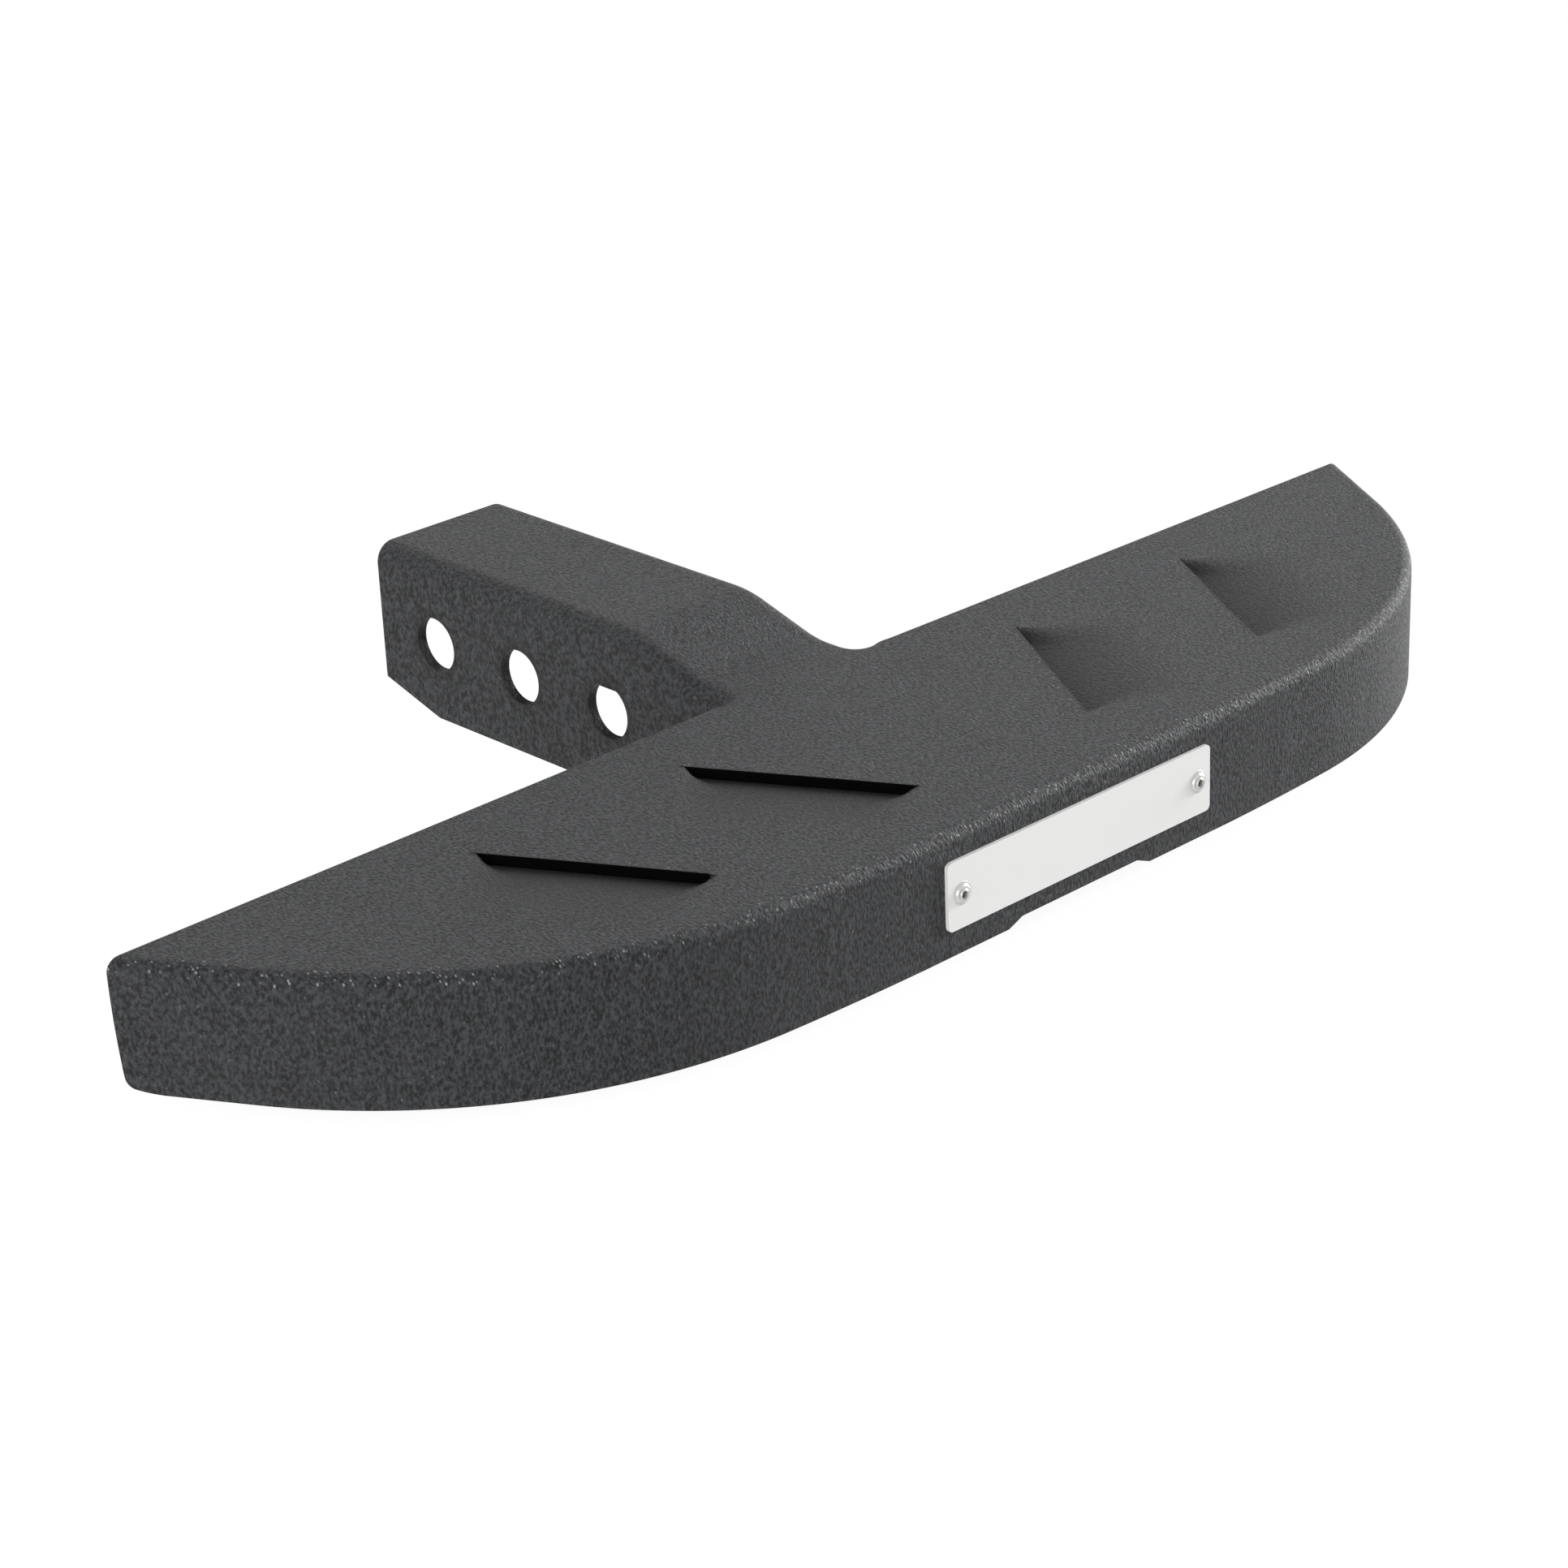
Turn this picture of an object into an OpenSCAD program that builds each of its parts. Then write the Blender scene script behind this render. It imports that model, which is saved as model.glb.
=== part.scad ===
// Hitch receiver step: a pressed tread with a folded skirt, four lanced louvres
// and an open-bottomed shank that slides into a receiver tube.
// Row frame: origin on the axis of the middle pin hole, in the plane of symmetry.
// +X runs along the tread, +Y out of the shank towards the vehicle, +Z up.

/* [Shank] */
// Width of the shank across its side walls
shank_w = 50.8; // [44:0.1:60]
// Height of the shank, from its top to the lower edges of its walls
shank_h = 49; // [44:0.5:58]
// Length of the shank behind the rear edge of the tread
shank_reach = 153; // [140:1:190]
// Outside radius of the shank's two folded edges
shank_r = 6; // [4:0.5:7.5]
// Length of the cut-back lower corner at the shank's end
end_cut_l = 24; // [8:1:32]
// Height of the cut-back lower corner at the shank's end
end_cut_h = 7; // [3:0.5:10]
/* [Pin holes] */
// Diameter of the pin holes
pin_hole_d = 16.5; // [13:0.1:17]
// Distance from one pin hole to the next
pin_pitch = 38.1; // [34:0.1:42]
// Distance from the shank's end to the centre of the first pin hole
pin_end = 25; // [20:0.5:35]
// Depth of the pin axis below the shank's top
pin_drop = 25.4; // [24:0.1:30]
/* [Tread] */
// Thickness of the sheet
sheet_t = 3; // [2:0.25:3.5]
// Length of the tread, end to end
tread_l = 460; // [400:5:560]
// Depth of the tread, from its rear edge to its front
tread_d = 103; // [95:1:125]
// Forward sweep of the rear edge at each end
tread_sweep = 2.7; // [0:0.1:8]
// Drop from the shank's top to the tread
step_drop = 8; // [4:0.5:12]
// Height of the folded skirt, from the tread's top to its lower edge
skirt_h = 34; // [28:1:40]
// Outside radius of the bend between tread and skirt
bend_r = 4.5; // [4:0.25:8]
/* [Tread outline] */
// Length of the straight part of the skirt at each end
end_l = 35; // [20:1:45]
// Radius of the shallow shoulder beside the flat front
shoulder_r = 650; // [500:10:900]
// Radius on the lower rear corner of each end of the skirt
skirt_corner_r = 5; // [4:0.5:14]
/* [Root] */
// Radius in plan between shank and tread
root_r = 10; // [6:0.5:10]
// Distance of the ramp's start behind the rear edge of the tread
ramp_y = 11; // [10.5:0.5:14]
// Radius of the ramp's two bends, on its upper face
ramp_r = 37; // [28:1:42]
/* [Louvres] */
// Length of each louvre's slit
louvre_l = 66; // [50:1:74]
// Width of the pressed ramp beside each slit
louvre_w = 29; // [20:1:34]
// Depth of the pressed edge below the tread
louvre_d = 3.8; // [3.6:0.1:6]
// Radius of the pressed ramp, across the slit
louvre_r = 120; // [100:5:200]
// Length over which the ramp keeps its full width
louvre_flat = 28; // [10:1:40]
// Angle of the slits to the plane of symmetry
louvre_a = 30; // [20:1:36]
// Distance of the inner slits' middle from the plane of symmetry
louvre_x = 48; // [44:1:60]
// Distance from an inner slit to the outer one
louvre_pitch = 70; // [60:1:80]
// Distance of the slits' middle in front of the rear edge
louvre_y = 49; // [44:1:54]
// Width of the cut that each slit starts from
kerf = 0.6; // [0.3:0.1:1]
/* [Skirt notch] */
// Width of the notch at the skirt's lower edge
notch_w = 54; // [40:1:70]
// Depth of the notch
notch_d = 2; // [1:0.25:4]
/* [Ribs] */
// Thickness of the two rib plates under the tread
rib_t = 3; // [2:0.25:5]
// Space between a rib's end and the rim of the nearest pin hole
rib_space = 5; // [2:0.5:12]
/* [Nameplate] */
// Width of the nameplate
plate_w = 100; // [80:1:110]
// Height of the nameplate
plate_h = 19; // [15:0.5:22]
// Thickness of the nameplate
plate_t = 1; // [0.6:0.1:2]
// Radius of the nameplate's corners
plate_r = 1.6; // [0.6:0.2:4]
// Distance from the nameplate's end to a rivet
rivet_inset = 5; // [4.4:0.1:9]
// Diameter of the rivets' bodies
rivet_d = 3.2; // [2.4:0.1:4]
// Diameter of the rivets' heads
rivet_head_d = 6.6; // [5.6:0.1:8]
// Height of the rivets' heads
rivet_head_h = 1.3; // [0.9:0.1:1.8]
// Gap between a rivet's body and its hole, all round
rivet_gap = 0.05; // [0.03:0.01:0.2]

/* [Hidden] */

// Overlap that makes neighbouring stretches of one sheet a single solid
lap = 1;
// Extra length of a cutting tool past the metal
over = 5;
// Depth of the flat strip that the folded edge of the tread is swept with
flange = 12;

// Driving points in the tread frame: x across, y = 0 on the rear edge, z = 0 on the tread
half_l = tread_l / 2;
half_w = shank_w / 2;
slope = tread_sweep / half_l;
slope_a = atan(slope);
pin_z = step_drop - pin_drop;
pin_y = shank_reach - pin_end - pin_pitch;
wall_z = step_drop - shank_h;

// Root fillet, tangent to the shank's side and to the swept rear edge
root_x = half_w + root_r;
root_y = (root_r - root_x * sin(slope_a)) / cos(slope_a);
root_tip = [root_x - root_r * sin(slope_a), root_y - root_r * cos(slope_a)];
strip_low = shank_r + 4;

// Centre of the arc that a louvre's ramp follows, across the slit
louvre_chord = norm([louvre_w, louvre_d]);
louvre_c = [louvre_w, -louvre_d] / 2
    + [louvre_d, -louvre_w] / louvre_chord * sqrt(louvre_r * louvre_r - louvre_chord * louvre_chord / 4);

// Ramp of two equal bends with a straight slope between them, level at both ends
ramp_a = atan2(7, 24);
slope_l = (step_drop - 2 * ramp_r * (1 - cos(ramp_a))) / sin(ramp_a);
ramp_l = 2 * ramp_r * sin(ramp_a) + slope_l * cos(ramp_a);
ramp_end = ramp_y + ramp_l;

// Outline of the tread: flat front, shoulder arc, corner arc, straight end.
// Sine and cosine of both turns are short decimals, so that the stretches meet exactly
shoulder_a = atan2(0.07584, 0.99712);
corner_a = atan2(0.8, 0.6);
end_a = shoulder_a + corner_a;
corner = [half_l, -tread_sweep];
end_pt = corner - end_l * along(end_a);
shoulder_rise = shoulder_r * (1 - cos(shoulder_a));
corner_r = (end_pt[1] + tread_d - shoulder_rise) / (cos(shoulder_a) - cos(end_a));
corner_c = end_pt - corner_r * outward(end_a);
shoulder_pt = corner_c + corner_r * outward(shoulder_a);
shoulder_c = shoulder_pt - shoulder_r * outward(shoulder_a);
front_x = shoulder_c[0];

// How far the skirt's outer face lies behind the flat front at a distance from the middle
function skirt_back(x) =
    x <= front_x ? 0 : shoulder_r - sqrt(shoulder_r * shoulder_r - (x - front_x) * (x - front_x));

// Unit vectors along the outline and out of it, where it has turned by angle a
function along(a) = [cos(a), sin(a)];
function outward(a) = [sin(a), -cos(a)];
function mix(a, b, t) = a + (b - a) * t;

module mirrored() {
    children();
    mirror([1, 0, 0]) children();
}

// Everything is drawn in the tread frame and set down on the pin axis
module place() {
    translate([0, -pin_y, -pin_z]) children();
}

// Everything in front of the swept rear edge, in plan
module front_zone() {
    x = half_l + 2 * over;
    polygon([[0, 0], [-x, -slope * x], [-x, -tread_d - over], [x, -tread_d - over],
             [x, -slope * x]]);
}

// Section through the folded edge of the tread: flat, bend and skirt
module skirt_section() {
    difference() {
        union() {
            translate([-bend_r, -bend_r]) circle(r = bend_r, $fn = 64);
            translate([-flange, -bend_r]) square([flange - bend_r, bend_r]);
            translate([-bend_r, -skirt_h]) square([bend_r, skirt_h - bend_r]);
        }
        translate([-bend_r, -bend_r]) circle(r = bend_r - sheet_t, $fn = 64);
        translate([-flange - over, -skirt_h - over])
            square([flange + over - bend_r, skirt_h + over - sheet_t]);
        translate([-bend_r - lap, -skirt_h - over])
            square([bend_r + lap - sheet_t, skirt_h + over - bend_r]);
    }
}

// A straight stretch of the folded edge along +X, its outer face on y = 0
module edge_run(len) {
    translate([len, 0, 0]) rotate([0, 0, -90]) rotate([90, 0, 0])
        linear_extrude(len) skirt_section();
}

// A curved stretch that leaves the origin along +X and turns left through an angle
module edge_turn(r, a) {
    translate([0, r, 0])
        intersection() {
            rotate([0, 0, -90]) rotate_extrude(angle = a + 10, $fn = 720)
                translate([r, 0]) skirt_section();
            rotate([0, 0, a]) translate([-2 * r, -2 * r, -skirt_h - over])
                cube([2 * r, 4 * r, skirt_h + 2 * over]);
        }
}

// The frame at the end of a curved stretch
module after_turn(r, a) {
    translate([0, r, 0]) rotate([0, 0, a]) translate([0, -r, 0]) children();
}

// Right half of the folded front and end, each stretch drawn where the last one ends
module half_skirt() {
    translate([0, -tread_d, 0]) {
        edge_run(front_x);
        translate([front_x, 0, 0]) {
            edge_turn(shoulder_r, shoulder_a);
            after_turn(shoulder_r, shoulder_a) {
                edge_turn(corner_r, corner_a);
                after_turn(corner_r, corner_a) edge_run(end_l + 2 * over);
            }
        }
    }
}

// Rounds the lower rear corner of the skirt's free end
module skirt_corner_cut() {
    r = skirt_corner_r;
    translate([corner[0], corner[1], -skirt_h]) rotate([0, 0, end_a])
        difference() {
            translate([-r, -over, -over]) cube([r + 3 * over, 3 * over, r + over]);
            translate([0.15 - r, 0, r]) rotate([90, 0, 0])
                cylinder(r = r, h = 6 * over, center = true, $fn = 96);
        }
}

// Points of the outline at a distance inside it, right half, front to rear
function inner_outline(d) = concat(
    [[front_x, d - tread_d]],
    [for (k = [0 : 5]) corner_c + (corner_r - d) * outward(mix(shoulder_a, end_a, k / 5))],
    [corner - d * outward(end_a) + 2 * over * along(end_a)]);

// Louvre frame: origin on the slit's middle, +X away from the symmetry plane, +Y backwards
module at_louvres() {
    for (x = [louvre_x, louvre_x + louvre_pitch])
        translate([x, -louvre_y]) rotate([0, 0, -louvre_a]) children();
}

// Plan of the pressed ramp: straight along the slit, its outer corners cut away
module louvre_plan() {
    polygon([[0, -louvre_l / 2], [louvre_w / 3, -louvre_l / 2], [louvre_w, -louvre_flat / 2],
             [louvre_w, louvre_flat / 2], [louvre_w / 3, louvre_l / 2], [0, louvre_l / 2]]);
}

// Opening in the tread for one louvre, reaching over the cut beside the slit
module louvre_hole() {
    translate([-kerf, -louvre_l / 2]) square([2 * kerf, louvre_l]);
    louvre_plan();
}

// A bar along the slit whose side follows the ramp's arc
module louvre_bar(inset) {
    translate([louvre_c[0], 0, louvre_c[1]]) rotate([90, 0, 0])
        cylinder(r = louvre_r - inset, h = 2 * louvre_l, center = true, $fn = 720);
}

// The pressed ramp of one louvre: an arched sheet, and a rim drawn down from the tread at both ends
module louvre_ramp() {
    far = louvre_d + 2 * sheet_t;
    scale_in = (louvre_l - 2 * sheet_t) / louvre_l;
    difference() {
        union() {
            intersection() {
                translate([0, 0, -far]) linear_extrude(far) louvre_plan();
                louvre_bar(0);
            }
            translate([0, 0, -far]) linear_extrude(far)
                difference() {
                    louvre_plan();
                    translate([-over, 0]) square([2 * (louvre_w + over), louvre_flat], center = true);
                    scale([2, scale_in]) louvre_plan();
                }
        }
        louvre_bar(sheet_t);
    }
}

// The flat of the tread with its openings, in plan
module tread_flat() {
    right = inner_outline(flange / 2);
    far = 2 * over;
    difference() {
        intersection() {
            mirrored() polygon(concat([[-lap, flange / 2 - tread_d]], right,
                [[right[len(right) - 1][0], far], [-lap, far]]));
            front_zone();
        }
        mirrored() at_louvres() louvre_hole();
    }
    difference() {
        translate([-root_x, -far]) square([2 * root_x, far + ramp_y]);
        mirrored() {
            translate([root_x, root_y]) circle(r = root_r, $fn = 720);
            translate(root_tip) rotate(-slope_a) square([2 * root_r, 2 * root_r]);
            translate([half_w, root_y]) square([2 * root_r, root_r]);
        }
    }
}

// Section across the shank's folded top with short walls, its top on y = 0
module top_section() {
    difference() {
        channel_section(0, -strip_low);
        channel_section(sheet_t, -strip_low - over);
    }
}

// Outline of the channel with rounded upper corners, inset from its outer face
module channel_section(inset, low) {
    r = shank_r - inset;
    w = half_w - inset;
    translate([-w, low]) square([2 * w, -shank_r - low]);
    translate([r - w, low]) square([2 * (w - r), -inset - low]);
    for (s = [-1, 1])
        translate([s * (w - r), -shank_r]) circle(r = r, $fn = 64);
}

// Everything in front of a plane through the X axis
module half_space() {
    far = 4 * half_w;
    translate([-far / 2, -far, -far / 2]) cube(far);
}

// The S-shaped ramp: the folded top swept up a bend, a straight slope and a second bend,
// and its own straight run on to the shank's end
module ramp() {
    translate([0, ramp_y, ramp_r]) {
        intersection() {
            rotate([0, 90, 0]) rotate_extrude(angle = 90, $fn = 720)
                rotate([0, 0, 90]) translate([0, -ramp_r]) top_section();
            rotate([ramp_a, 0, 0]) half_space();
        }
        rotate([ramp_a, 0, 0]) translate([0, slope_l, -ramp_r]) {
            rotate([90, 0, 0]) linear_extrude(slope_l) top_section();
            translate([0, 0, -ramp_r]) {
                intersection() {
                    rotate([0, -90, 0]) rotate_extrude(angle = 90, $fn = 720)
                        rotate([0, 0, -90]) translate([0, ramp_r]) top_section();
                    rotate([-ramp_a, 0, 0]) half_space();
                }
                rotate([-ramp_a, 0, 0]) translate([0, shank_reach - ramp_end, ramp_r])
                    rotate([90, 0, 0]) linear_extrude(shank_reach - ramp_end) shank_section();
            }
        }
    }
}

// Section across the straight shank, its top on y = 0
module shank_section() {
    difference() {
        channel_section(0, -shank_h);
        channel_section(sheet_t, -shank_h - over);
    }
}

// One side wall under the ramp, drawn side on
module ramp_wall() {
    top = -(shank_r + strip_low) / 2;
    translate([half_w - sheet_t, 0, 0]) rotate([90, 0, 90]) linear_extrude(sheet_t)
        polygon([[ramp_y, wall_z], [ramp_y, top], [ramp_end, step_drop + top], [ramp_end, wall_z]]);
}

// The shank's lower corner is cut back so that it finds its way into the receiver
module shank_end_cut() {
    rotate([90, 0, 90])
        linear_extrude(shank_w + over, center = true)
            polygon([[shank_reach - end_cut_l, wall_z], [shank_reach, wall_z + end_cut_h],
                     [shank_reach + over, wall_z + end_cut_h], [shank_reach + over, wall_z - over],
                     [shank_reach - end_cut_l, wall_z - over]]);
}

module pin_holes() {
    for (i = [-1 : 1])
        translate([0, pin_y + i * pin_pitch, pin_z]) rotate([0, 90, 0])
            cylinder(d = pin_hole_d, h = shank_w + over, center = true, $fn = 96);
}

// Positions of the two rivets, looking out of the front face
module at_rivets() {
    for (s = [-1, 1])
        translate([s * (plate_w / 2 - rivet_inset), -tread_d, -skirt_h / 2])
            rotate([90, 0, 0]) children();
}

// Clearance hole for a rivet, through the nameplate and the skirt
module rivet_hole() {
    deep = sheet_t + plate_t + skirt_back(plate_w / 2 - rivet_inset);
    cylinder(d = rivet_d + 2 * rivet_gap, h = 2 * deep + over, center = true, $fn = 48);
}

// Shallow notch in the lower edge of the skirt, in the middle of the front
module skirt_notch() {
    ramp = 2.5 * notch_d;
    translate([0, sheet_t - tread_d + over, -skirt_h]) rotate([90, 0, 0])
        linear_extrude(sheet_t + 2 * over)
            polygon([[-notch_w / 2, 0], [ramp - notch_w / 2, notch_d], [notch_w / 2 - ramp, notch_d],
                     [notch_w / 2, 0], [notch_w / 2, -over], [-notch_w / 2, -over]]);
}

module tread() {
    translate([0, 0, -sheet_t]) linear_extrude(sheet_t) tread_flat();
    difference() {
        intersection() {
            mirrored() half_skirt();
            translate([0, 0, -skirt_h - over]) linear_extrude(skirt_h + 2 * over) front_zone();
        }
        mirrored() skirt_corner_cut();
    }
    mirrored() at_louvres() louvre_ramp();
}

module step_shell() {
    color([0.24, 0.24, 0.25])
        place()
            difference() {
                union() {
                    tread();
                    ramp();
                    mirrored() ramp_wall();
                }
                pin_holes();
                shank_end_cut();
                skirt_notch();
                at_rivets() rivet_hole();
            }
}

// A rib plate: flat against the shank's wall, the underside of the tread and the skirt
module rib() {
    front = sheet_t - tread_d;
    low = notch_d - skirt_h;
    nick = bend_r - sheet_t + 1;
    rear = pin_y - pin_pitch - pin_hole_d / 2 - rib_space;
    top = -strip_low;
    translate([half_w - sheet_t - rib_t, 0, 0]) rotate([90, 0, 90])
        linear_extrude(rib_t)
            polygon([[front, low], [front, -sheet_t - nick], [front + nick, -sheet_t],
                     [-2 * lap, -sheet_t], [root_y - 2 * lap, top], [rear, top],
                     [rear, low + shank_r], [rear - shank_r, low]]);
}

module rib_right() {
    color([0.2, 0.2, 0.21]) place() rib();
}

module rib_left() {
    color([0.2, 0.2, 0.21]) place() mirror([1, 0, 0]) rib();
}

module nameplate() {
    w = plate_w / 2 - plate_r;
    h = plate_h / 2 - plate_r;
    color([0.84, 0.84, 0.82])
        place()
            difference() {
                translate([0, -tread_d, -skirt_h / 2]) rotate([90, 0, 0])
                    linear_extrude(plate_t) {
                        square([plate_w, 2 * h], center = true);
                        square([2 * w, plate_h], center = true);
                        for (x = [-w, w], y = [-h, h])
                            translate([x, y]) circle(r = plate_r, $fn = 48);
                    }
                at_rivets() rivet_hole();
            }
}

// A set blind rivet: domed head with its sunk mandrel, body, and the bulb behind the sheet
module rivet() {
    head_r = rivet_head_d / 2;
    dome_r = (head_r * head_r + rivet_head_h * rivet_head_h) / (2 * rivet_head_h);
    bulb_r = 0.72 * rivet_d;
    back = -sheet_t - plate_t - skirt_back(plate_w / 2 - rivet_inset + bulb_r);
    rotate_extrude($fn = 64)
        difference() {
            union() {
                intersection() {
                    translate([0, rivet_head_h - dome_r]) circle(r = dome_r, $fn = 128);
                    square([head_r, rivet_head_h]);
                }
                translate([0, back - rivet_d / 2]) square([rivet_d / 2, rivet_d / 2 - back]);
                translate([0, back - rivet_d]) square([bulb_r, rivet_d]);
            }
            translate([0, rivet_head_h / 2]) square([0.36 * rivet_d, rivet_head_h]);
        }
}

module nameplate_rivets() {
    color([0.8, 0.8, 0.78])
        place() at_rivets() translate([0, 0, plate_t]) rivet();
}

step_shell();
rib_left();
rib_right();
nameplate();
nameplate_rivets();
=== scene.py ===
# %% [markdown]
# # Hitch receiver step
# A step that pins into the receiver tube of a tow hitch. One sheet of 3 mm steel is cut out,
# lanced, pressed and folded: a wide tread with a skirt round its front and ends, four louvres for
# grip, an S-shaped ramp, and a channel-shaped shank with three pin holes. A bare nameplate is
# riveted on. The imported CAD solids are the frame. The sheet is drawn again here as one smooth skin
# that gets its thickness from a modifier, because a folded sheet is soft in its bends and crisp
# only where it is cut.

# %% Load the frame
import bpy
import math
import numpy as np
from mathutils import Matrix, Vector
from mathutils.geometry import delaunay_2d_cdt


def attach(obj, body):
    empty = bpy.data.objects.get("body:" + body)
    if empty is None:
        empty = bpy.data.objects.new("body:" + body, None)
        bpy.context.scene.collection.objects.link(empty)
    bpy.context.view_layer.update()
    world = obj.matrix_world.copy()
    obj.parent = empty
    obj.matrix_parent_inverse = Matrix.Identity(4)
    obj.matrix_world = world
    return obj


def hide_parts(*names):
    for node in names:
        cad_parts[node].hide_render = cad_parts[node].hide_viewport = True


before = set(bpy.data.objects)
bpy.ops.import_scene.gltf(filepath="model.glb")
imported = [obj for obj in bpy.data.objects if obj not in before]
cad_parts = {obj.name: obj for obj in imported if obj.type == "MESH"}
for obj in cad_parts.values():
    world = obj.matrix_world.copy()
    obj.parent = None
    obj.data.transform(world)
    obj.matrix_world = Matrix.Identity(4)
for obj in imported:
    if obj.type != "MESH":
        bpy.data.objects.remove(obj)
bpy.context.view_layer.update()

# %% [markdown]
# ## Sizes
# The CAD source names every size. The ones that the skin needs are repeated here, in millimetres,
# in the tread frame: x across, y = 0 on the rear edge of the tread, z = 0 on its top. `to_row`
# sets points down in the row frame, whose origin is the middle pin hole, and turns them into
# metres. A few sizes are a little finer than in the solids: the fold is tighter and the outline's
# straight ends turn further.

# %% Sizes
MM = 0.001
PIN, PIN_R, PIN_PITCH = np.array([0.0, 89.9, -17.4]), 8.25, 38.1  # middle pin hole, radius, pitch
PIN_HOLES = np.array([-1, 0, 1])
SHEET, BEND_R, SKIRT = 3.0, 3.4, 34.0  # thickness, outside radius of the fold, the skirt's height
HALF_L, DEPTH, SWEEP, END_L = 230.0, 103.0, 2.7, 35.0  # the tread and its straight ends
SHOULDER_R, SHOULDER_A = 650.0, math.atan2(0.07584, 0.99712)
END_A = math.radians(59.3)
HALF_W, SHANK_R, REACH = 25.4, 6.0, 153.0  # the shank: half its width, its folds, its length
DROP, WALL_Z = 8.0, -41.0  # heights of its top and of its walls' lower edges
END_CUT_L, END_CUT_H = 24.0, 7.0  # its cut-back lower corners
ROOT_R, RAMP_Y, RAMP_L, RAMP_R, RAMP_A = 10.0, 11.0, 38.0, 37.0, math.atan2(7, 24)
SLOPE = SWEEP / HALF_L  # of the tread's rear edge
RIVET_X = 45.0


def to_row(points):
    """Tread frame in millimetres to row frame in metres: the pin's place is taken away."""
    return (np.asarray(points, float) - PIN) * MM


def along(a):
    """Unit vector along the outline where it has turned by angle a: cosine, sine."""
    return np.stack([np.cos(a), np.sin(a)], -1)


def outward(a):
    """Unit vector out of the outline where it has turned by angle a: sine, minus cosine."""
    return np.stack([np.sin(a), -np.cos(a)], -1)


def ease(t):
    """Smooth step: 3 t squared less 2 t cubed, level at 0 and at 1."""
    t = np.clip(t, 0, 1)
    return t * t * (3 - 2 * t)


print("pin holes at y", PIN[1] + PIN_PITCH * PIN_HOLES, "mm behind the tread")

# %% [markdown]
# ## Mesh helpers
# Every piece is worked out as whole arrays of points. A grid of points gives a skin of quads. A
# flat outline with holes is filled with triangles by Delaunay's method, and then lifted by a
# height function. The finished arrays go into one mesh whose doubles are merged by a modifier.

# %% Skins from arrays
def grid_faces(rows, cols):
    """Quads of a grid of rows by cols points; normals follow columns crossed with rows."""
    i, j = np.meshgrid(np.arange(rows - 1), np.arange(cols - 1), indexing="ij")
    a = (i * cols + j).ravel()
    return np.stack([a, a + 1, a + cols + 1, a + cols], -1)


def inside(points, loop):
    """Even-odd rule: a point is inside if a ray from it crosses the loop an odd number of times."""
    x, y = points[:, 0, None], points[:, 1, None]
    a, b = loop, np.roll(loop, -1, 0)
    over = (a[:, 1] > y) != (b[:, 1] > y)
    with np.errstate(divide="ignore", invalid="ignore"):
        cross = a[:, 0] + (y - a[:, 1]) * (b[:, 0] - a[:, 0]) / (b[:, 1] - a[:, 1])
    return (over & (x < cross)).sum(1) % 2 == 1


def gap_to(points, loop):
    """Smallest distance from each point to the sides of a loop."""
    a, b = loop, np.roll(loop, -1, 0)
    d = b - a
    t = ((points[:, None] - a) * d).sum(-1) / np.maximum((d * d).sum(-1), 1e-9)
    near = a + np.clip(t, 0, 1)[..., None] * d
    return np.linalg.norm(points[:, None] - near, axis=-1).min(1)


def fill(loop, holes, extra):
    """Triangles that fill a loop and leave its holes open, with the extra points inside it."""
    loops = [loop] + list(holes)
    edges, start = [], 0
    for one in loops:
        n = np.arange(len(one))
        edges.append(np.stack([start + n, start + (n + 1) % len(one)], -1))
        start += len(one)
    points = np.vstack(loops + [extra])
    flat, _, faces, _, _, _ = delaunay_2d_cdt(
        list(map(Vector, points.tolist())), np.vstack(edges).tolist(), [], 0, 1e-5)
    flat, faces = np.array([tuple(p) for p in flat]), np.array(faces)
    corner, middle = flat[faces], flat[faces].mean(1)
    area = np.cross(corner[:, 1] - corner[:, 0], corner[:, 2] - corner[:, 0]) / 2
    keep = inside(middle, loop) & (area > 1e-3)
    for hole in holes:
        keep &= ~inside(middle, hole)
    return flat, faces[keep]


# %% Pieces from skins
def make_piece(name, parts, material, marks):
    """One object from (points, faces) parts, doubles merged; marks are values at its points."""
    points, faces, start = [], [], 0
    for p, f in parts:
        points.append(p)
        faces += (np.asarray(f) + start).tolist()
        start += len(p)
    mesh = bpy.data.meshes.new(name)
    mesh.from_pydata(np.vstack(points).tolist(), [], faces)
    for mark, values in marks.items():
        layer = mesh.attributes.new(mark, "FLOAT", "POINT")
        layer.data.foreach_set("value", values.astype(np.float32))
    piece = bpy.data.objects.new(name, mesh)
    bpy.context.scene.collection.objects.link(piece)
    weld = piece.modifiers.new("weld", "WELD")
    weld.merge_threshold = 0.002 * MM
    mesh.materials.append(material)
    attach(piece, "root")
    return piece


def settle(piece, angle):
    """Applies the piece's modifiers, shades it smooth, and keeps edges over the angle sharp."""
    graph = bpy.context.evaluated_depsgraph_get()
    done = bpy.data.meshes.new_from_object(piece.evaluated_get(graph))
    piece.modifiers.clear()
    old, piece.data = piece.data, done
    bpy.data.meshes.remove(old)
    done.polygons.foreach_set("use_smooth", np.ones(len(done.polygons), bool))
    done.set_sharp_from_angle(angle=math.radians(angle))
    done.calc_loop_triangles()
    print(piece.name, len(done.loop_triangles), "triangles")


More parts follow.
